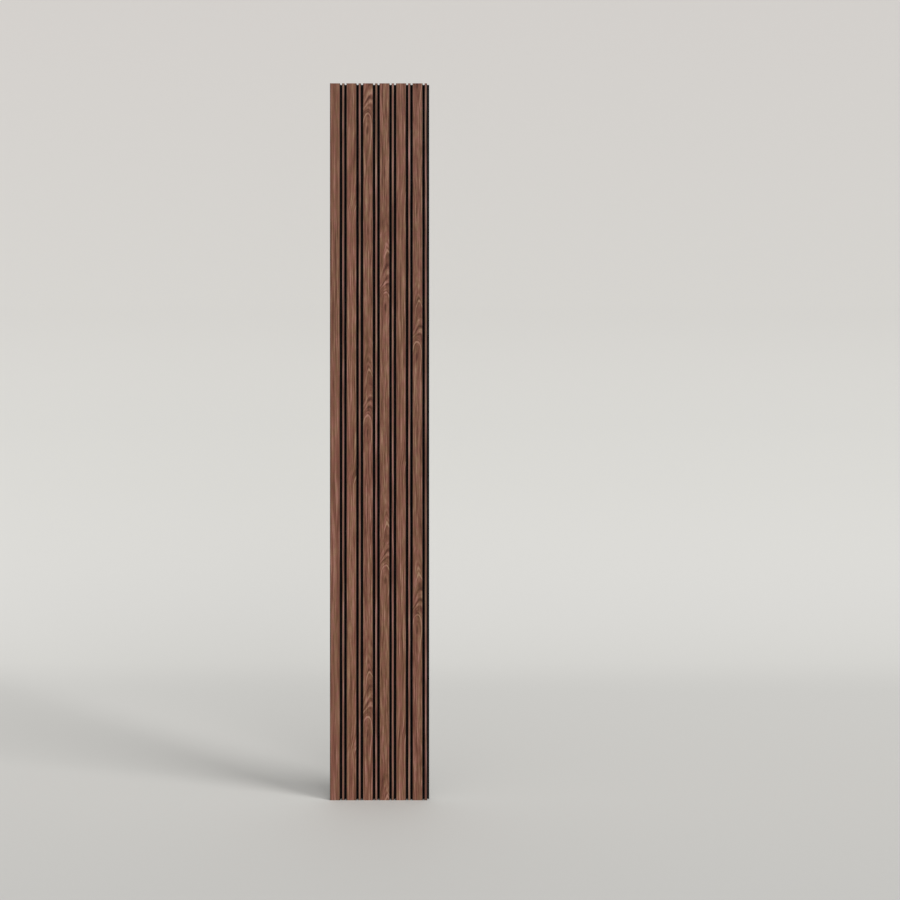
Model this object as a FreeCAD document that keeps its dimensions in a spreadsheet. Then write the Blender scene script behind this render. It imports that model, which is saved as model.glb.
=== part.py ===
"""Acoustic slat wall panel: veneered slats, wide and narrow by turns, stapled to a sheet of felt.

Millimetres, +Z up. The front faces -Y. The origin is the middle of the back face's bottom edge, where
the wall meets the floor: the felt's back lies on the plane y = 0 and its lower end on z = 0.
"""

import FreeCAD
import Part
import Sketcher

import os

PARTS_FOLDER = "parts"
SAME_PLACE = 1e-6

# Driving dimensions: the sheet's alias, its value, and what it measures
DIMENSIONS = (
    ("panel_length", 2400.0, "height of the panel, and length of every slat"),
    ("slat_pairs", 6, "number of wide slats, and of narrow ones"),
    ("wide_slat_width", 33.4, "width of a wide slat's face"),
    ("narrow_slat_width", 7.9, "width of a narrow slat's face"),
    ("slat_gap", 7.0, "clear gap between one slat and the next"),
    ("felt_thickness", 9.0, "felt sheet, back to front"),
    ("core_thickness", 11.4, "fibreboard core of a slat, back to front"),
    ("veneer_thickness", 0.6, "wood veneer on a slat's face"),
    ("veneer_edge_ease", 0.25, "chamfer along the veneer's two long front edges"),
    ("staple_rows", 6, "staples along each slat"),
    ("staple_end_margin", 100.0, "slat end to the middle of the nearest staple"),
    ("staple_crown", 12.8, "staple, over its two legs"),
    ("staple_bite", 7.0, "depth of a staple's legs in the slat's core"),
    ("staple_wire_width", 0.95, "staple wire, across the slat"),
    ("staple_wire_thickness", 0.65, "staple wire, in the plane of the staple"),
)

# Lengths worked out from the driving dimensions, as expressions
PITCH = "(sizes.wide_slat_width + sizes.narrow_slat_width + 2 * sizes.slat_gap)"
PANEL_WIDTH = f"(sizes.slat_pairs * {PITCH})"
LEFT_EDGE = f"(-{PANEL_WIDTH} / 2)"
CORE_BACK = "(-sizes.felt_thickness)"
VENEER_BACK = "(-sizes.felt_thickness - sizes.core_thickness)"
STAPLE_LEG = "(sizes.felt_thickness + sizes.staple_bite)"
LEG_INSET = "(sizes.staple_crown - sizes.staple_wire_thickness)"
ROW_SPAN = "(sizes.panel_length - 2 * sizes.staple_end_margin)"
LOWEST_LEG = "(sizes.staple_end_margin - sizes.staple_crown / 2)"

# The two kinds of slat: face width, and the first slat's left side measured from the panel's left edge
SLAT_KINDS = {
    "wide": ("sizes.wide_slat_width", "0"),
    "narrow": ("sizes.narrow_slat_width", "(sizes.wide_slat_width + sizes.slat_gap)"),
}


def make_sheet(doc):
    """The spreadsheet of driving dimensions, one row each: alias, value, meaning."""
    sheet = doc.addObject("Spreadsheet::Sheet", "sizes")
    for row, (alias, value, meaning) in enumerate(DIMENSIONS, start=1):
        sheet.set(f"A{row}", alias)
        sheet.set(f"B{row}", str(value))
        sheet.setAlias(f"B{row}", alias)
        sheet.set(f"C{row}", meaning)
    doc.recompute()
    return sheet


def make_body(doc, label, x="0", y="0"):
    """An empty body whose origin stands at the expressions x and y, on the plane of the lower end."""
    body = doc.addObject("PartDesign::Body", label)
    body.Label = label
    body.setExpression("Placement.Base.x", x)
    body.setExpression("Placement.Base.y", y)
    return body


def origin_feature(body, role):
    """One of the body's own origin planes or axes."""
    return next(f for f in body.Origin.OriginFeatures if f.Role == role)


def make_sketch(body, name, plane, offset=None):
    """A sketch on one of the body's origin planes, moved along its normal by the expression offset."""
    sketch = body.newObject("Sketcher::SketchObject", name)
    sketch.AttachmentSupport = (origin_feature(body, plane), "")
    sketch.MapMode = "FlatFace"
    if offset is not None:
        sketch.setExpression("AttachmentOffset.Base.z", offset)
    return sketch


def bind(sketch, constraint, name, expression):
    """Adds a distance constraint to the sketch and ties it to an expression."""
    index = sketch.addConstraint(Sketcher.Constraint(*constraint))
    sketch.renameConstraint(index, name)
    sketch.setExpression(f"Constraints.{name}", expression)


def add_outline(sketch, corners):
    """A closed outline of level and upright lines, through corners given as rough points."""
    first = sketch.GeometryCount
    count = len(corners)
    points = [FreeCAD.Vector(x, y, 0) for x, y in corners]
    for i in range(count):
        sketch.addGeometry(Part.LineSegment(points[i], points[(i + 1) % count]))
    for i in range(count):
        line, following = first + i, first + (i + 1) % count
        sketch.addConstraint(Sketcher.Constraint("Coincident", line, 2, following, 1))
        level = abs(points[i].y - points[(i + 1) % count].y) < SAME_PLACE
        sketch.addConstraint(Sketcher.Constraint("Horizontal" if level else "Vertical", line))
    return first


def add_rectangle(sketch, name, left, bottom, width, height):
    """A rectangle with its lower left corner and its two sides tied to expressions."""
    first = add_outline(sketch, ((1, 1), (2, 1), (2, 2), (1, 2)))
    bind(sketch, ("DistanceX", -1, 1, first, 1, 1.0), f"{name}_left", left)
    bind(sketch, ("DistanceY", -1, 1, first, 1, 1.0), f"{name}_bottom", bottom)
    bind(sketch, ("DistanceX", first, 1, first, 2, 1.0), f"{name}_width", width)
    bind(sketch, ("DistanceY", first + 1, 1, first + 1, 2, 1.0), f"{name}_height", height)


def add_pad(body, name, sketch, length):
    """A pad along the sketch's normal."""
    pad = body.newObject("PartDesign::Pad", name)
    pad.Profile = sketch
    pad.setExpression("Length", length)
    return pad


def add_pocket(body, name, sketch, depth):
    """A pocket along the sketch's normal, which points into the material here."""
    pocket = body.newObject("PartDesign::Pocket", name)
    pocket.Profile = sketch
    pocket.Reversed = True
    pocket.setExpression("Length", depth)
    return pocket


def repeat_in_rows(body, originals, across):
    """Repeats features along the slats, row by row, and if across, from one pair of slats to the next."""
    pattern = body.newObject("PartDesign::LinearPattern", "rows")
    pattern.Originals = originals
    pattern.Direction = (origin_feature(body, "Z_Axis"), [""])
    pattern.setExpression("Length", ROW_SPAN)
    pattern.setExpression("Occurrences", "sizes.staple_rows")
    if across:
        pattern.Direction2 = (origin_feature(body, "X_Axis"), [""])
        pattern.setExpression("Length2", f"(sizes.slat_pairs - 1) * {PITCH}")
        pattern.setExpression("Occurrences2", "sizes.slat_pairs")
    body.Tip = pattern
    return pattern


def staple_column(kind):
    """Left side of the first column of staples of a kind of slat, measured from the panel's left edge."""
    width, start = SLAT_KINDS[kind]
    return f"({start} + ({width} - sizes.staple_wire_width) / 2)"


def add_leg_pair(sketch, name, left):
    """The sections of a staple's lower and upper leg."""
    for end, bottom in (("lower", LOWEST_LEG), ("upper", f"({LOWEST_LEG} + {LEG_INSET})")):
        section = ("sizes.staple_wire_width", "sizes.staple_wire_thickness")
        add_rectangle(sketch, f"{name}_{end}", left, bottom, *section)


def make_felt(doc):
    """The felt sheet, with a recess for each staple's crown and a hole for each of its legs."""
    body = make_body(doc, "felt_backing", x=LEFT_EDGE)
    outline = make_sketch(body, "outline", "XZ_Plane")
    add_rectangle(outline, "sheet", "0", "0", PANEL_WIDTH, "sizes.panel_length")
    add_pad(body, "felt_pad", outline, "sizes.felt_thickness")
    crowns = make_sketch(body, "crowns", "XZ_Plane")
    legs = make_sketch(body, "legs", "XZ_Plane")
    for kind in SLAT_KINDS:
        column = staple_column(kind)
        add_rectangle(crowns, kind, column, LOWEST_LEG, "sizes.staple_wire_width", "sizes.staple_crown")
        add_leg_pair(legs, kind, column)
    recess = add_pocket(body, "crown_recess", crowns, "sizes.staple_wire_thickness")
    holes = add_pocket(body, "leg_holes", legs, "sizes.felt_thickness")
    repeat_in_rows(body, [recess, holes], across=True)
    return body


def slat_left(kind, index):
    """Left side of a slat, in the panel's own frame."""
    return f"({LEFT_EDGE} + {SLAT_KINDS[kind][1]} + {index} * {PITCH})"


def make_core(doc, kind, index):
    """The fibreboard core of a slat, with blind slots behind where the staples' legs hold it."""
    width = SLAT_KINDS[kind][0]
    body = make_body(doc, f"{kind}_slat_core_{index + 1}", x=slat_left(kind, index), y=CORE_BACK)
    back = make_sketch(body, "back", "XZ_Plane")
    add_rectangle(back, "core", "0", "0", width, "sizes.panel_length")
    add_pad(body, "core_pad", back, "sizes.core_thickness")
    legs = make_sketch(body, "legs", "XZ_Plane")
    add_leg_pair(legs, "staple", f"(({width} - sizes.staple_wire_width) / 2)")
    slots = add_pocket(body, "leg_slots", legs, "sizes.staple_bite")
    repeat_in_rows(body, [slots], across=False)
    return body


def make_veneer(doc, kind, index):
    """The wood veneer on a slat's face, with its two long front edges eased."""
    width = SLAT_KINDS[kind][0]
    body = make_body(doc, f"{kind}_slat_veneer_{index + 1}", x=slat_left(kind, index), y=VENEER_BACK)
    back = make_sketch(body, "back", "XZ_Plane")
    add_rectangle(back, "face", "0", "0", width, "sizes.panel_length")
    pad = add_pad(body, "veneer_pad", back, "sizes.veneer_thickness")
    doc.recompute()
    ease = body.newObject("PartDesign::Chamfer", "edge_ease")
    ease.Base = (pad, front_long_edges(pad.Shape))
    ease.setExpression("Size", "sizes.veneer_edge_ease")
    body.Tip = ease
    return body


def front_long_edges(shape):
    """Names of the upright edges on the front of a sheet that faces -Y."""
    box = shape.BoundBox
    names = []
    for number, edge in enumerate(shape.Edges, start=1):
        on_front = abs(edge.BoundBox.YMax - box.YMin) < SAME_PLACE
        if on_front and edge.BoundBox.ZLength > box.ZLength / 2:
            names.append(f"Edge{number}")
    return names


def make_staples(doc):
    """All the staples: a U of flat wire, its crown along the slat, repeated over every slat."""
    body = make_body(doc, "staples", x=LEFT_EDGE)
    columns = [make_staple(body, kind) for kind in SLAT_KINDS]
    repeat_in_rows(body, columns, across=True)
    return body


def make_staple(body, kind):
    """The lowest staple of the first slat of a kind, drawn from the side and padded by its wire's width."""
    profile = make_sketch(body, f"{kind}_profile", "YZ_Plane", offset=staple_column(kind))
    corners = ((0, 1), (0, 9), (-9, 9), (-9, 8), (-1, 8), (-1, 2), (-9, 2), (-9, 1))
    crown = add_outline(profile, corners)
    upper_leg, upper_tip, inner_crown, lower_tip = crown + 1, crown + 2, crown + 4, crown + 6
    bind(profile, ("DistanceX", -1, 1, crown, 1, 0.0), "back", "0")
    bind(profile, ("DistanceY", -1, 1, crown, 1, 1.0), "lowest", LOWEST_LEG)
    bind(profile, ("DistanceY", crown, 1, crown, 2, 8.0), "crown", "sizes.staple_crown")
    bind(profile, ("DistanceX", upper_leg, 2, upper_leg, 1, 9.0), "upper_leg", STAPLE_LEG)
    bind(profile, ("DistanceX", lower_tip, 2, crown, 1, 9.0), "lower_leg", STAPLE_LEG)
    for name, line in (("upper_tip", upper_tip), ("lower_tip", lower_tip)):
        bind(profile, ("DistanceY", line, 2, line, 1, 1.0), name, "sizes.staple_wire_thickness")
    bind(profile, ("DistanceX", inner_crown, 1, crown, 2, 1.0), "crown_wire", "sizes.staple_wire_thickness")
    return add_pad(body, f"{kind}_staple", profile, "sizes.staple_wire_width")


def check(doc, pieces):
    """Stops the build if an object failed or a piece has no sound solid."""
    failed = [o.Label for o in doc.Objects if {"Invalid", "Error"} & set(o.State)]
    if failed:
        raise RuntimeError(f"these objects failed: {failed}")
    for piece in pieces:
        shape = piece.Shape
        if shape.isNull() or not shape.isValid() or not shape.Solids:
            raise RuntimeError(f"{piece.Label} has no valid solid")


def main():
    doc = FreeCAD.newDocument("acoustic_slat_wall_panel")
    sheet = make_sheet(doc)
    pieces = [make_felt(doc), make_staples(doc)]
    for kind in SLAT_KINDS:
        for index in range(int(sheet.slat_pairs)):
            pieces.append(make_core(doc, kind, index))
            pieces.append(make_veneer(doc, kind, index))
    doc.recompute()
    check(doc, pieces)
    os.makedirs(PARTS_FOLDER, exist_ok=True)
    for piece in pieces:
        piece.Shape.exportStep(os.path.join(PARTS_FOLDER, f"{piece.Label}.step"))
        print(f"{piece.Label}: {len(piece.Shape.Solids)} solid(s), {piece.Shape.Volume:.1f} mm3")


main()
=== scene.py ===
"""Looks of the acoustic slat wall panel: walnut veneer on black fibreboard slats, felt and steel staples.

Metres, in the panel's own frame: +Z up, the slats face -Y, and the wall is the plane y = 0.
"""

import math
from collections import namedtuple

import bpy
import numpy as np
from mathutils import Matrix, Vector, noise


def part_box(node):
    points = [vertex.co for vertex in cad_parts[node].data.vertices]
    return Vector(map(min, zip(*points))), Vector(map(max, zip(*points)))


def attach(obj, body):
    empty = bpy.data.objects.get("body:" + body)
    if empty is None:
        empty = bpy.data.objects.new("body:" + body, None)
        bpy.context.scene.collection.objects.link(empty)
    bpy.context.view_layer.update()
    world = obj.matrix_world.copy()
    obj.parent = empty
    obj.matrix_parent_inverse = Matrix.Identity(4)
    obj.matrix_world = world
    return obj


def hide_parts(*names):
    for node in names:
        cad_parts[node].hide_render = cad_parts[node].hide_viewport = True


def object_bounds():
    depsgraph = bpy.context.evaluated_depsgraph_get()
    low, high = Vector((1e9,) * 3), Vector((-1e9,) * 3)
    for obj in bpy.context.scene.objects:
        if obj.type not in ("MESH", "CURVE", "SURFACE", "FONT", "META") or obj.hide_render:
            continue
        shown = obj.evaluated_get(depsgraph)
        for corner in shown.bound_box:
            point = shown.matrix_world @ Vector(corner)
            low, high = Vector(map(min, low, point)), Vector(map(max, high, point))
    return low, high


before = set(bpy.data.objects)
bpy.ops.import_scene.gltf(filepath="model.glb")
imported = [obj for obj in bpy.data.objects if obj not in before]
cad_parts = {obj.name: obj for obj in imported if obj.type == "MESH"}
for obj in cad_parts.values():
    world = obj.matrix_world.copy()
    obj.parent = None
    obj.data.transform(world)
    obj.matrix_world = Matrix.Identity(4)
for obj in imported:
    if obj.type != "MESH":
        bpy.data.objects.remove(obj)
cad_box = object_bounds()

MM = 0.001
SLAT_KINDS = ("wide", "narrow")
SLAT_PAIRS = sum(name.startswith("wide_slat_core_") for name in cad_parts)
SLATS = [(kind, number) for kind in SLAT_KINDS for number in range(1, SLAT_PAIRS + 1)]

# The photograph's frame, and where the panel's left edge and its two ends lie in it, in pixels
PHOTO_SIDE = 900
PHOTO_LEFT = 329.95
PHOTO_TOP = 83.29
PHOTO_BOTTOM = 800.29

# The camera's focal length and the width of its sensor
LENS_MM = 36.0
SENSOR_MM = 36.0


def linear(*levels):
    """A colour given in the 0 to 255 levels of a picture, as the linear numbers that a shader takes."""
    shares = [level / 255 for level in levels]
    return [s / 12.92 if s <= 0.04045 else ((s + 0.055) / 1.055) ** 2.4 for s in shares]


class Finish:
    """A material and its nodes. Most methods add nodes and give what comes out of them."""

    def __init__(self, name):
        self.material = bpy.data.materials.new(name)
        self.material.use_nodes = True
        self.nodes = self.material.node_tree.nodes
        self.shader = self.nodes["Principled BSDF"]

    def feed(self, socket, value):
        """Links an output to the socket, or sets the socket to a plain value."""
        if isinstance(value, bpy.types.NodeSocket):
            self.material.node_tree.links.new(value, socket)
        else:
            socket.default_value = value

    def set(self, **values):
        """Sets or links the shader's inputs, named with _ for each space."""
        for name, value in values.items():
            self.feed(self.shader.inputs[name.replace("_", " ")], value)

    def place(self):
        """The x, y and z of the point that is shaded, in metres in the panel's frame."""
        where = self.nodes.new("ShaderNodeTexCoord")
        split = self.nodes.new("ShaderNodeSeparateXYZ")
        self.feed(split.inputs[0], where.outputs["Object"])
        return [split.outputs[axis] for axis in "XYZ"]

    def maths(self, operation, *values):
        """One of the Math node's operations on the values."""
        node = self.nodes.new("ShaderNodeMath")
        node.operation = operation
        for socket, value in zip(node.inputs, values):
            self.feed(socket, value)
        return node.outputs[0]

    def total(self, *values):
        """The sum of the values."""
        result = values[0]
        for value in values[1:]:
            result = self.maths("ADD", result, value)
        return result

    def scaled(self, value, factor, middle=0.0):
        """factor times the value's distance from its middle."""
        return self.maths("MULTIPLY", self.maths("SUBTRACT", value, middle), factor)

    def swing(self, value, factor):
        """factor times how far a value of 0 to 1 lies from its middle."""
        return self.scaled(value, factor, middle=0.5)

    def blend(self, first, second, share):
        """The first value where share is 0, and the second where it is 1."""
        change = self.maths("MULTIPLY", self.maths("SUBTRACT", second, first), share)
        return self.maths("ADD", first, change)

    def counts(self, place, rates):
        """Each coordinate of a place as a count of blotches, at so many a metre."""
        return [self.scaled(value, rate) for value, rate in zip(place, rates)]

    def noise(self, x, y=0.0, z=0.0, detail=2.0, roughness=0.5):
        """Noise of about 0 to 1 at the point (x, y, z), each in steps of about one blotch."""
        at = self.nodes.new("ShaderNodeCombineXYZ")
        for socket, value in zip(at.inputs, (x, y, z)):
            self.feed(socket, value)
        node = self.nodes.new("ShaderNodeTexNoise")
        self.feed(node.inputs["Vector"], at.outputs[0])
        node.inputs["Scale"].default_value = 1.0
        node.inputs["Detail"].default_value = detail
        node.inputs["Roughness"].default_value = roughness
        return node.outputs["Factor"] if "Factor" in node.outputs else node.outputs["Fac"]

    def curve(self, value, points):
        """A smooth curve through points in the unit square."""
        node = self.nodes.new("ShaderNodeFloatCurve")
        line = node.mapping.curves[0]
        for x, y in points[1:-1]:
            line.points.new(x, y)
        for point, place in zip(line.points, points):
            point.location = place
        node.mapping.extend = "HORIZONTAL"
        node.mapping.update()
        self.feed(node.inputs["Value"], value)
        return node.outputs[0]

    def ramp(self, value, stops):
        """A colour from stops of (value, colour)."""
        node = self.nodes.new("ShaderNodeValToRGB")
        elements = node.color_ramp.elements
        while len(elements) < len(stops):
            elements.new(1.0)
        for element, (place, colour) in zip(elements, stops):
            element.position = place
            element.color = (*colour, 1.0)
        self.feed(node.inputs[0], value)
        return node.outputs["Color"]

    def tinted(self, colour, tint, share):
        """The colour multiplied by a tint, as far as share says."""
        # The node has sockets of one name for each kind of data, so those for colours go by number
        node = self.nodes.new("ShaderNodeMix")
        node.data_type = "RGBA"
        node.blend_type = "MULTIPLY"
        self.feed(node.inputs["Factor"], share)
        self.feed(node.inputs[6], colour)
        self.feed(node.inputs[7], (*tint, 1.0))
        return node.outputs[2]

    def bump(self, height, depth):
        """A normal from a height of 0 to 1, where 1 stands for depth in metres."""
        node = self.nodes.new("ShaderNodeBump")
        node.inputs["Distance"].default_value = depth
        self.feed(node.inputs["Height"], height)
        return node.outputs["Normal"]


def add(name, data):
    """A new object in the scene."""
    thing = bpy.data.objects.new(name, data)
    bpy.context.scene.collection.objects.link(thing)
    return thing


def add_mesh(name, points, faces, material):
    """A new smooth mesh of one material in the scene."""
    mesh = bpy.data.meshes.new(name)
    mesh.from_pydata(points, [], faces)
    mesh.shade_smooth()
    mesh.materials.append(material)
    return add(name, mesh)


# The walnut's figure repeats along a slat, and these curves follow it from 0 to 1: straight grain, a dark
# eye, a lower crest at CREST_SHARE, steep arcs, an upper crest, and straight grain again
CREST_SHARE = 0.30

# How much deeper than at the eye the heart of the tree lies behind the veneer, as a share of the range
GRAIN_DEPTH = (
    (0.0, 0.16), (0.10, 0.11), (0.176, 0.04), (0.22, 0.01), (0.25, 0.0), (0.28, 0.03), (0.30, 0.09),
    (0.315, 0.15), (0.39, 0.375), (0.41, 0.415), (0.45, 0.465), (0.49, 0.50), (0.65, 0.61), (0.85, 0.68),
    (1.0, 0.73),
)
EYE_DEPTH = 26 * MM
DEPTH_RANGE = 45 * MM

# How far the heart drifts to the right: 0.5 is not at all, and 1 is half of the range
HEART_DRIFT = (
    (0.0, 0.5), (0.10, 0.42), (0.176, 0.35), (0.25, 0.42), (0.30, 0.44), (0.33, 0.62), (0.36, 0.70),
    (0.40, 0.69), (0.43, 0.60), (0.45, 0.57), (0.50, 0.5), (1.0, 0.5),
)
DRIFT_RANGE = 40 * MM

# How far the figure shows, where the rest is straight grain
FIGURE_SHARE = ((0.0, 0.0), (0.12, 0.0), (0.22, 1.0), (0.50, 1.0), (0.64, 0.0), (1.0, 0.0))

# How far aside of a slat's middle the heart lies when its crests are down to a half, and how sharply they
# fall there: from there on they become steep fans, and then straight grain
FIGURE_REACH, FIGURE_FALL = 22 * MM, 4

# The tone of the growth rings, by how far they lie past the eye's depth, as a share of the range
RING_TONE = (
    (0.0, 0.0), (0.006, 0.14), (0.02, 0.42), (0.075, 0.46), (0.128, 0.44), (0.144, 0.62), (0.162, 0.95),
    (0.186, 0.84), (0.204, 0.42), (0.219, 0.28), (0.248, 0.50), (0.284, 0.32), (0.328, 0.44), (0.366, 0.24),
    (0.399, 0.34), (0.434, 0.68), (0.494, 0.55), (0.539, 0.16), (0.576, 0.40), (0.614, 0.68), (0.681, 0.55),
    (0.734, 0.30), (0.794, 0.36), (0.857, 0.40), (0.875, 0.98), (0.89, 0.35), (0.911, 0.66), (0.929, 0.35),
    (0.951, 0.58), (0.98, 0.42), (1.0, 0.5),
)
RING_RANGE = 24 * MM
RING_CONTRAST = 1.2

# How far aside of the heart, before it drifts, the rings are down to half their contrast
RING_REACH = 19 * MM

# The heart's slow wander and the rings' ripples, across and along a slat: how many a metre, and how far
WANDERS, WANDER = 2.2, 6 * MM
RIPPLES, RIPPLE = (100, 13), 1 * MM

# Bands and finer streaks of the grain: how many lie in a metre across the rings, and their contrast
BANDS, BAND_CONTRAST = 290, 2.5
STREAKS, STREAK_CONTRAST = 640, 1.55

# How often a band changes along a metre, how much oftener on a slat with crests, and how many times as
# often a streak changes. The stagger makes neighbouring rings change at different heights
STRAIGHT_CHANGES, CREST_CHANGES = 5.0, 4.0
STREAK_CHANGES = 3.0
RING_STAGGER = 97

# How often the straight grain, and the grain that follows the rings, change along a metre across a slat
STRAIGHT_ASIDE, RING_ASIDE = 150, 60

# How much of the grain that follows the rings, and of the straight grain, shows in the figure
RING_GRAIN, STRAIGHT_GRAIN = 0.55, 0.4

# Clouds and pores: how many lie in a metre across and along a slat, and how much they lighten or darken it.
# There is a pore where its noise is above the level
CLOUDS, CLOUD_CONTRAST = (40, 3), 0.1
PORES, PORE_LEVEL, PORE_DARKNESS = (3200, 130), 0.64, 0.2

# The wood's colour from its darkest to its lightest tone, and its mean tone
WALNUT = (
    (0.0, linear(80, 45, 32)),
    (0.3, linear(107, 67, 50)),
    (0.5, linear(120, 79, 62)),
    (0.7, linear(132, 91, 74)),
    (1.0, linear(160, 121, 104)),
)
MEAN_TONE = 0.54

# It leans to red in places and to olive in others: how many places lie in a metre across and along a slat,
# and their contrast
RED_TINT = (1.06, 0.93, 0.98)
OLIVE_TINT = (0.95, 1.03, 0.84)
FINE_HUES, FINE_HUE_CONTRAST = (80, 32), 2.9
SLOW_HUES, SLOW_HUE_CONTRAST = (55, 1.5), 1.8

# The veneer is darkened along its edges by painted shade, for this width, of which the inner part fades out
SHADED_EDGE_WIDTH, SHADED_EDGE_FADE = 1.8 * MM, 1.0 * MM
EDGE_SHADE_TINT = (0.10, 0.09, 0.08)

# How rough the veneer is and how much smoother where it is light, and how high its grain and pores stand
VENEER_ROUGHNESS, LIGHT_GLOSS = 0.56, 0.12
VENEER_RELIEF, GRAIN_HEIGHT, PORE_HEIGHT = 0.12 * MM, 0.5, 3.0

# What keeps noises apart: a step from slat to slat, one from kind to kind, and one for each layer of a slat
SLAT_SEED, KIND_SEED = 10.0, 100.0
CLOUD_SEED, FINE_HUE_SEED, SLOW_HUE_SEED = 7, 13, 29

# The narrow slats are cut from greyer leaves than the wide ones
LEAF_TINT = {"wide": (1.0, 1.0, 1.0), "narrow": (1.0, 1.07, 1.25)}

# Each slat's cut from the tree: how far the heart lies to the right of the slat's middle, the height of a
# lower crest, the figure's length along the grain, and the slat's own lightness
Cut = namedtuple("Cut", "heart crest length lightness")
FIGURE_LENGTH = 0.907
CUTS = {
    "wide": (
        Cut(-40 * MM, 0.30, FIGURE_LENGTH, 0.97),
        Cut(23 * MM, 0.16, FIGURE_LENGTH, 1.06),
        Cut(1.5 * MM, 0.279, 1.0095, 1.01),
        Cut(6.5 * MM, 0.786, 0.914, 1.0),
        Cut(27 * MM, 0.21, FIGURE_LENGTH, 1.0),
        Cut(2 * MM, 0.621, 0.913, 0.98),
    ),
    "narrow": (
        Cut(62 * MM, 0.10, FIGURE_LENGTH, 1.08),
        Cut(-71 * MM, 0.42, FIGURE_LENGTH, 1.15),
        Cut(66 * MM, 0.77, FIGURE_LENGTH, 1.19),
        Cut(-58 * MM, 0.31, FIGURE_LENGTH, 1.17),
        Cut(75 * MM, 0.55, FIGURE_LENGTH, 1.21),
        Cut(-64 * MM, 0.68, FIGURE_LENGTH, 1.09),
    ),
}


def crest_share(cut):
    """How far a cut shows crests: 1 is fully, and 0 is straight grain."""
    return 1 / (1 + (cut.heart / FIGURE_REACH) ** FIGURE_FALL)


def walnut_rings(made, x, z, middle, cut, seed):
    """How far each point of the veneer's face lies from the heart, how strongly the rings show there, and
    how far the figure shows."""
    figure_foot = cut.crest - CREST_SHARE * cut.length
    share = made.maths("FRACT", made.scaled(z, 1 / cut.length, middle=figure_foot))
    shown = crest_share(cut)
    drift = made.swing(made.curve(share, HEART_DRIFT), -DRIFT_RANGE * shown)
    wander = made.swing(made.noise(made.scaled(z, WANDERS), seed), WANDER)
    across = made.total(x, -(middle + cut.heart), drift, wander)
    depth = made.total(EYE_DEPTH, made.scaled(made.curve(share, GRAIN_DEPTH), DEPTH_RANGE * shown))
    squares = made.total(made.maths("POWER", across, 2.0), made.maths("POWER", depth, 2.0))
    ripple = made.swing(made.noise(*made.counts((across, z), RIPPLES), seed), RIPPLE)
    radius = made.total(made.maths("SQRT", squares), ripple)
    figured = made.curve(share, FIGURE_SHARE)
    off_heart = made.scaled(x, 1 / RING_REACH, middle=middle + cut.heart)
    fading = made.total(made.maths("POWER", off_heart, 2.0), 1.0)
    return radius, made.maths("DIVIDE", figured, fading), figured


def walnut_grain(made, ring, aside, z, changes):
    """The light and dark of the grain about 0, where ring tells the growth rings apart, aside makes them
    change across the slat, and changes is how often a band changes along a metre of it."""
    along = made.total(made.scaled(z, changes), made.scaled(ring, RING_STAGGER))
    bands = made.noise(made.scaled(ring, BANDS), along, aside, detail=3.0)
    oftener = made.scaled(along, STREAK_CHANGES)
    streaks = made.noise(made.scaled(ring, STREAKS), oftener, aside, roughness=0.6)
    return made.total(made.swing(bands, BAND_CONTRAST), made.swing(streaks, STREAK_CONTRAST))


def walnut_tone(made, x, z, middle, cut, seed):
    """How light the wood is at each point, of about 0 to 1, and how high its fibres stand."""
    radius, strength, figured = walnut_rings(made, x, z, middle, cut, seed)
    changes = STRAIGHT_CHANGES + CREST_CHANGES * crest_share(cut)
    straight = walnut_grain(made, x, made.total(made.scaled(x, STRAIGHT_ASIDE), seed), z, changes)
    ringed = walnut_grain(made, radius, made.total(made.scaled(x, RING_ASIDE), seed), z, changes)
    in_figure = made.total(made.scaled(ringed, RING_GRAIN), made.scaled(straight, STRAIGHT_GRAIN))
    grain = made.blend(straight, in_figure, figured)
    ring_share = made.scaled(radius, 1 / RING_RANGE, middle=EYE_DEPTH)
    ring_tone = made.swing(made.curve(ring_share, RING_TONE), RING_CONTRAST)
    rings = made.maths("MULTIPLY", ring_tone, strength)
    cloud_noise = made.noise(*made.counts((x, z), CLOUDS), seed + CLOUD_SEED, detail=1.0)
    clouds = made.swing(cloud_noise, CLOUD_CONTRAST)
    pore_noise = made.noise(*made.counts((x, z), PORES), seed, detail=1.0)
    pores = made.scaled(made.maths("GREATER_THAN", pore_noise, PORE_LEVEL), -PORE_DARKNESS)
    tone = made.total(MEAN_TONE, grain, rings, clouds, pores)
    height = made.total(made.scaled(grain, GRAIN_HEIGHT), made.scaled(pores, PORE_HEIGHT), 0.5)
    return tone, height


def walnut_redness(made, x, z, seed):
    """Where the wood leans to red, as 1, and to olive, as 0."""
    fine = made.noise(*made.counts((x, z), FINE_HUES), seed + FINE_HUE_SEED)
    slow = made.noise(*made.counts((x, z), SLOW_HUES), seed + SLOW_HUE_SEED, detail=1.0)
    return made.total(0.5, made.swing(fine, FINE_HUE_CONTRAST), made.swing(slow, SLOW_HUE_CONTRAST))


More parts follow.
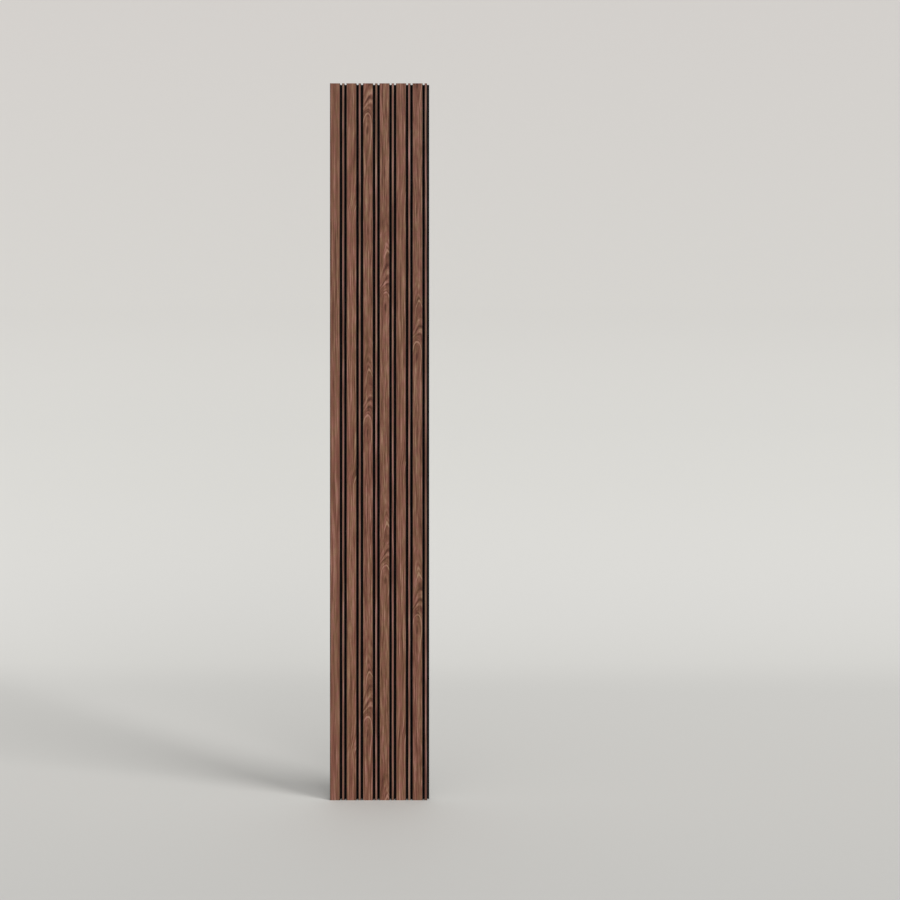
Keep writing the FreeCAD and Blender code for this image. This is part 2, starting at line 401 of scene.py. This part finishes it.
def walnut_veneer(name, low, high, cut, tint, seed):
    """Flat-sliced walnut: growth rings cut by the veneer's face, with fibres and pores along them, and
    painted shade that darkens it along its edges at low and high."""
    middle = (low + high) / 2
    made = Finish(name)
    x, _, z = made.place()
    tone, height = walnut_tone(made, x, z, middle, cut, seed)
    redness = walnut_redness(made, x, z, seed)
    colour = made.tinted(made.ramp(tone, WALNUT), RED_TINT, redness)
    colour = made.tinted(colour, OLIVE_TINT, made.maths("SUBTRACT", 1.0, redness))
    colour = made.tinted(colour, tint, 1.0)
    aside = made.maths("ABSOLUTE", made.maths("SUBTRACT", x, middle))
    inset = made.maths("SUBTRACT", (high - low) / 2, aside)
    # Painted shade: darkens the colour in a band along the veneer's long edges
    colour = made.tinted(colour, EDGE_SHADE_TINT, made.scaled(inset, -1 / SHADED_EDGE_FADE, middle=SHADED_EDGE_WIDTH))
    made.set(Base_Color=colour, Roughness=made.total(VENEER_ROUGHNESS, made.swing(tone, -LIGHT_GLOSS)))
    made.set(Specular_IOR_Level=0.3, Normal=made.bump(height, VENEER_RELIEF))
    return made.material


# The fibreboard's fibres along a metre of x, y and z, and its blacks from between the fibres to their tops
BOARD_FIBRES = (900, 900, 420)
BOARD_BLACKS = ((0.3, linear(4, 4, 4)), (0.7, linear(14, 13, 12)))


def black_fibreboard():
    """Fibreboard dyed black right through, with its fibres just to be seen."""
    made = Finish("black_fibreboard")
    fibres = made.noise(*made.counts(made.place(), BOARD_FIBRES), detail=3.0, roughness=0.65)
    made.set(Base_Color=made.ramp(fibres, BOARD_BLACKS), Roughness=0.85, Specular_IOR_Level=0.2)
    return made.material


# The felt's mottle, clouds and fibres along a metre of x, y and z, and the contrast of each. The fibres lie
# both ways, and the upper ones of the two show, which is a mean of more than a half
FELT_MOTTLE, MOTTLE_CONTRAST = (150, 150, 120), 1.5
FELT_CLOUDS, FELT_CLOUD_CONTRAST = (22, 22, 16), 0.5
UPRIGHT_FIBRES, LEVEL_FIBRES = (2600, 900, 260), (260, 900, 2600)
FIBRE_CONTRAST, FIBRE_MEAN = 1.3, 0.58
FELT_BLACKS = ((0.2, linear(7, 7, 7)), (0.5, linear(18, 18, 19)), (0.9, linear(50, 50, 51)))
FELT_RELIEF = 0.7 * MM


def black_felt():
    """Needled polyester felt: a mottled mat of black fibres with paler ones among them."""
    made = Finish("black_felt")
    place = made.place()
    mottle = made.noise(*made.counts(place, FELT_MOTTLE), detail=5.0, roughness=0.8)
    clouds = made.noise(*made.counts(place, FELT_CLOUDS))
    upright = made.noise(*made.counts(place, UPRIGHT_FIBRES))
    level = made.noise(*made.counts(place, LEVEL_FIBRES))
    fibres = made.scaled(made.maths("MAXIMUM", upright, level), FIBRE_CONTRAST, middle=FIBRE_MEAN)
    mottle = made.swing(mottle, MOTTLE_CONTRAST)
    shade = made.total(0.5, mottle, fibres, made.swing(clouds, FELT_CLOUD_CONTRAST))
    made.set(Base_Color=made.ramp(shade, FELT_BLACKS), Roughness=0.95, Specular_IOR_Level=0.1)
    made.set(Sheen_Weight=0.05, Normal=made.bump(shade, FELT_RELIEF))
    return made.material


# The wire's scratches along a metre of x, y and z, its greys, and how much rougher the lighter ones are
WIRE_SCRATCHES = (9000, 9000, 700)
WIRE_GREYS = ((0.3, linear(150, 152, 156)), (0.7, linear(205, 207, 210)))
WIRE_ROUGHNESS, SCRATCH_ROUGHNESS = 0.3, 0.25


def staple_steel():
    """Galvanised wire, drawn and lightly scratched along its length."""
    made = Finish("staple_steel")
    drawn = made.noise(*made.counts(made.place(), WIRE_SCRATCHES))
    roughness = made.total(WIRE_ROUGHNESS, made.scaled(drawn, SCRATCH_ROUGHNESS))
    made.set(Base_Color=made.ramp(drawn, WIRE_GREYS), Metallic=1.0, Roughness=roughness)
    return made.material


def dress(node, material):
    """Gives a CAD node a finish."""
    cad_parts[node].material_slots[0].material = material


def slat_sides(kind, number):
    """The x of a slat's left and right side."""
    low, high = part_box(f"{kind}_slat_core_{number}")
    return low.x, high.x


def dress_slats():
    """Each slat's core in black fibreboard and its face in walnut of its own cut."""
    board = black_fibreboard()
    for kind, number in SLATS:
        dress(f"{kind}_slat_core_{number}", board)
        cut = CUTS[kind][number - 1]
        tint = [cut.lightness * share for share in LEAF_TINT[kind]]
        seed = SLAT_SEED * number + KIND_SEED * SLAT_KINDS.index(kind)
        veneer = walnut_veneer(f"walnut_{kind}_{number}", *slat_sides(kind, number), cut, tint, seed)
        dress(f"{kind}_slat_veneer_{number}", veneer)


# The felt: soft edges, an uneven nap where no slat presses on it, and dimples where the staples pull it in
FELT_STEP_ACROSS, FELT_STEP_UP = 5.5 * MM, 7.7 * MM
FELT_ROUND = 1.2 * MM
ROUND_ANGLES = (30, 60, 90)
DIMPLE_DEPTH = 0.62 * MM
DIMPLE_REACH = 8 * MM

# The nap's depth, and its coarse and fine tufts: how many lie in a metre, and their share of the depth
NAP_DEPTH = 0.45 * MM
NAP_TUFTS = ((130, 0.6), (420, 0.4))

# The staples on each slat, and the length of their crowns along it
STAPLE_ROWS = 6
STAPLE_CROWN = 12.8 * MM


def spaced(edges, step):
    """Every edge in order, with even steps of at most one step between them."""
    places = [edges[0]]
    for start, end in zip(edges, edges[1:]):
        count = math.ceil((end - start) / step)
        places += [start + (end - start) * (i + 1) / count for i in range(count)]
    return np.array(places)


def nap(points):
    """How far the felt's surface lies below its full size at each point."""
    rough = [sum(share * noise.noise(p * tufts) for tufts, share in NAP_TUFTS) for p in map(Vector, points)]
    return NAP_DEPTH * (0.5 + 0.5 * np.array(rough))


def dimples(x, z):
    """How far the staples pull in the felt's back at each point."""
    low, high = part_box("staples")
    rows = np.linspace(low.z + STAPLE_CROWN / 2, high.z - STAPLE_CROWN / 2, STAPLE_ROWS)
    depth = np.zeros_like(x)
    for slat in SLATS:
        middle = sum(slat_sides(*slat)) / 2
        for row in rows:
            beyond = np.maximum(np.abs(z - row) - STAPLE_CROWN / 2, 0.0)
            away = np.hypot(x - middle, beyond)
            depth = np.maximum(depth, DIMPLE_DEPTH * np.exp(-(away / DIMPLE_REACH) ** 2))
    return depth


def felt_grid(low, high):
    """The felt's columns and rows of points, with a column along each side of a slat."""
    left, right = low.x + FELT_ROUND, high.x - FELT_ROUND
    sides = {side for slat in SLATS for side in slat_sides(*slat) if left < side < right}
    columns = spaced(sorted(sides | {left, right}), FELT_STEP_ACROSS)
    rows = spaced([low.z + FELT_ROUND, high.z - FELT_ROUND], FELT_STEP_UP)
    return columns, rows


def felt_faces(columns, rows, low, high):
    """The points of the felt's front, with a nap between the slats, and of its back, with dimples."""
    x, z = (grid.ravel() for grid in np.meshgrid(columns, rows))
    slats = [slat_sides(*slat) for slat in SLATS]
    pressed = np.any([(left <= x) & (x <= right) for left, right in slats], axis=0)
    front = np.column_stack([x, np.full_like(x, low.y), z])
    front[:, 1] += np.where(pressed, 0.0, nap(front))
    back = np.column_stack([x, np.full_like(x, high.y), z])
    back[:, 1] -= np.maximum(nap(back), dimples(x, z))
    return front, back


def end_signs(values):
    """-1 at the lowest of the values, 1 at the highest and 0 between."""
    return np.sign(values - values.min()) + np.sign(values - values.max())


def felt_rims(front, back):
    """Rings of points that round the felt's edge, from the border of its front to that of its back."""
    outward = np.column_stack([end_signs(front[:, 0]), np.zeros(len(front)), end_signs(front[:, 2])])
    rims = []
    for border, inward, angles in ((front, 1, ROUND_ANGLES), (back, -1, ROUND_ANGLES[::-1])):
        for angle in np.radians(angles):
            rim = border + outward * FELT_ROUND * math.sin(angle)
            rim[:, 1] += inward * FELT_ROUND * (1 - math.cos(angle))
            rims.append(rim)
    return rims


def felt_shape():
    """Points and faces of the felt: a front and a back of many small faces, joined by a rounded rim."""
    low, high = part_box("felt_backing")
    columns, rows = felt_grid(low, high)
    front, back = felt_faces(columns, rows, low, high)
    cell = np.arange(len(front)).reshape(len(rows), len(columns))
    corners = [cell[:-1, :-1], cell[:-1, 1:], cell[1:, 1:], cell[1:, :-1]]
    sheet = np.stack([corner.ravel() for corner in corners], axis=1)

    loop = np.concatenate([cell[0, :-1], cell[:-1, -1], cell[-1, :0:-1], cell[:0:-1, 0]])
    rims = felt_rims(front[loop], back[loop])
    first_rim = 2 * len(front)
    rings = [loop] + [first_rim + i * len(loop) + np.arange(len(loop)) for i in range(len(rims))]
    rings.append(len(front) + loop)
    walls = [np.stack([a, b, np.roll(b, -1), np.roll(a, -1)], axis=1) for a, b in zip(rings, rings[1:])]
    points = np.concatenate([front, back, *rims])
    return points, np.concatenate([sheet, sheet[:, ::-1] + len(front), *walls])


def felt_backing():
    """The felt sheet, in place of the CAD's flat one."""
    points, faces = felt_shape()
    felt = add_mesh("soft_felt", points.tolist(), faces.tolist(), black_felt())
    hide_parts("felt_backing")
    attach(felt, "root")


# The studio: a pale floor that sweeps up into a wall all round, well clear of the panel
FLOOR_HALF_WIDTH = 7.0
FLOOR_FRONT, FLOOR_BACK = -8.0, 1.40
CORNER_RADIUS, CORNER_STEPS = 2.0, 12
SWEEP_RADIUS, SWEEP_STEPS = 2.2, 40
WALL_TOP = 8.0

# The colour on the floor by the distance to the wall's foot, and on the wall by the height: pale paper,
# with painted light and shade in how it changes
FLOOR_PAPER_AND_LIGHT = (
    (0.0, linear(205.5, 204.4, 200.6)),
    (1.4, linear(202, 200.4, 196.4)),
    (2.1, linear(199, 198, 194.5)),
)
WALL_PAPER_AND_LIGHT = (
    (0.0, linear(205.5, 204.4, 200.6)),
    (0.03, linear(208, 207, 203)),
    (0.24, linear(207.5, 206.5, 203)),
    (0.93, linear(207, 206, 202)),
    (1.35, linear(208.5, 207.5, 203.5)),
    (2.25, linear(218, 216, 212)),
    (4.5, linear(215, 211.5, 208)),
)


def studio_paper(made, distance, stops):
    """Matt paper whose colour, with painted light and shade in it, changes with a distance, by stops of
    (metres, colour).
    """
    span = stops[-1][0]
    # Painted light and shade: the stops make the paper lighter and darker with the distance
    colour = made.ramp(made.scaled(distance, 1 / span), [(stop / span, colour) for stop, colour in stops])
    made.set(Base_Color=colour, Roughness=0.7, Specular_IOR_Level=0.15)
    return made.material


def floor_paper():
    """The floor's paper, with painted light and shade that change towards the wall on any side."""
    made = Finish("floor_paper")
    x, y, _ = made.place()
    to_side = made.maths("SUBTRACT", FLOOR_HALF_WIDTH, made.maths("ABSOLUTE", x))
    to_back = made.maths("SUBTRACT", FLOOR_BACK, y)
    to_front = made.maths("SUBTRACT", y, FLOOR_FRONT)
    to_wall = made.maths("MINIMUM", to_side, made.maths("MINIMUM", to_back, to_front))
    return studio_paper(made, to_wall, FLOOR_PAPER_AND_LIGHT)


def wall_paper():
    """The wall's paper, with painted light and shade that change with the height."""
    made = Finish("wall_paper")
    _, _, z = made.place()
    return studio_paper(made, z, WALL_PAPER_AND_LIGHT)


def stage_piece(name, points, faces, paper):
    """A piece of the studio, added to the scene as a smooth mesh of one material."""
    piece = add_mesh(name, points, faces, paper)
    return piece


def studio_outline():
    """Points along the wall's foot, round the floor's four rounded corners, each with its way outward."""
    reach_x = FLOOR_HALF_WIDTH - CORNER_RADIUS
    reach_y = (FLOOR_BACK - FLOOR_FRONT) / 2 - CORNER_RADIUS
    middle_y = (FLOOR_BACK + FLOOR_FRONT) / 2
    outline = []
    for corner, (side_x, side_y) in enumerate(((1, 1), (-1, 1), (-1, -1), (1, -1))):
        centre = Vector((side_x * reach_x, side_y * reach_y + middle_y, 0.0))
        for i in range(CORNER_STEPS + 1):
            turn = math.pi / 2 * (corner + i / CORNER_STEPS)
            outward = Vector((math.cos(turn), math.sin(turn), 0.0))
            outline.append((centre + CORNER_RADIUS * outward, outward))
    return outline


def wall_profile():
    """How far out and how far up the wall goes from its foot: a quarter circle, and then straight up."""
    bends = [math.pi / 2 * i / SWEEP_STEPS for i in range(SWEEP_STEPS + 1)]
    profile = [(SWEEP_RADIUS * math.sin(bend), SWEEP_RADIUS * (1 - math.cos(bend))) for bend in bends]
    return profile + [(SWEEP_RADIUS, WALL_TOP)]


def studio():
    """The floor, and a wall that is seen but neither shades nor lights what stands before it."""
    outline, profile = studio_outline(), wall_profile()
    floor = [foot for foot, _ in outline]
    stage_piece("studio_floor", floor, [range(len(floor))], floor_paper())
    points = []
    for foot, outward in outline:
        points += [foot + out * outward + Vector((0.0, 0.0, up)) for out, up in profile]
    cell = np.arange(len(points)).reshape(len(outline), len(profile))
    beside = np.roll(cell, -1, axis=0)
    faces = np.stack([cell[:, :-1], beside[:, :-1], beside[:, 1:], cell[:, 1:]], axis=-1).reshape(-1, 4)
    wall = stage_piece("studio_wall", points, faces.tolist(), wall_paper())
    wall.visible_diffuse = False
    wall.visible_shadow = False


# The light: an even sky, a broad sun from the right that throws the shadow, and a broader one from the
# front right. A sun has its turn from the front to the right, its rise and its breadth, in degrees, and
# its light, which is what a white sheet facing it would show
SKY_LIGHT = 0.56
SKY_SEEN = linear(213, 211, 207)
Sun = namedtuple("Sun", "turn rise breadth light")
SUNS = {
    "right_sun": Sun(turn=64.0, rise=38.0, breadth=19.0, light=0.54),
    "front_sun": Sun(turn=25.0, rise=24.0, breadth=36.0, light=0.25),
}


def sky():
    """Even light all round. Seen straight, mirrored or through glass, it has the studio's colour."""
    world = bpy.data.worlds.new("sky")
    bpy.context.scene.world = world
    world.use_nodes = True
    nodes, links = world.node_tree.nodes, world.node_tree.links
    light = nodes["Background"]
    light.inputs["Color"].default_value = (1.0, 1.0, 1.0, 1.0)
    light.inputs["Strength"].default_value = SKY_LIGHT
    seen = nodes.new("ShaderNodeBackground")
    seen.inputs["Color"].default_value = (*SKY_SEEN, 1.0)
    path = nodes.new("ShaderNodeLightPath")
    sees = path.outputs["Is Camera Ray"]
    for ray in ("Is Glossy Ray", "Is Transmission Ray"):
        either = nodes.new("ShaderNodeMath")
        either.operation = "MAXIMUM"
        links.new(sees, either.inputs[0])
        links.new(path.outputs[ray], either.inputs[1])
        sees = either.outputs[0]
    mix = nodes.new("ShaderNodeMixShader")
    for socket, output in zip(mix.inputs, (sees, light.outputs[0], seen.outputs[0])):
        links.new(output, socket)
    links.new(mix.outputs[0], nodes["World Output"].inputs["Surface"])


def suns():
    """A lamp for each sun, shining from where it stands."""
    for name, sun in SUNS.items():
        data = bpy.data.lights.new(name, "SUN")
        data.angle = math.radians(sun.breadth)
        data.energy = sun.light * math.pi
        turn, rise = math.radians(sun.turn), math.radians(sun.rise)
        back = Vector((math.sin(turn) * math.cos(rise), -math.cos(turn) * math.cos(rise), math.sin(rise)))
        add(name, data).rotation_euler = back.to_track_quat("Z", "Y").to_euler()


def camera():
    """A level camera, set so that the panel's edges fall where the photograph has them."""
    low, high = cad_box
    focal = PHOTO_SIDE * LENS_MM / SENSOR_MM
    pixels_per_metre = (PHOTO_BOTTOM - PHOTO_TOP) / (high.z - low.z)
    data = bpy.data.cameras.new("camera")
    data.lens = LENS_MM
    data.sensor_width = SENSOR_MM
    camera_object = add("camera", data)
    camera_object.location = (
        low.x + (PHOTO_SIDE / 2 - PHOTO_LEFT) / pixels_per_metre,
        low.y - focal / pixels_per_metre,
        low.z + (PHOTO_BOTTOM - PHOTO_SIDE / 2) / pixels_per_metre,
    )
    camera_object.rotation_euler = (math.pi / 2, 0.0, 0.0)
    bpy.context.scene.camera = camera_object


def main():
    dress_slats()
    felt_backing()
    dress("staples", staple_steel())
    studio()
    sky()
    suns()
    camera()
    bpy.context.scene.view_settings.view_transform = "Standard"


main()
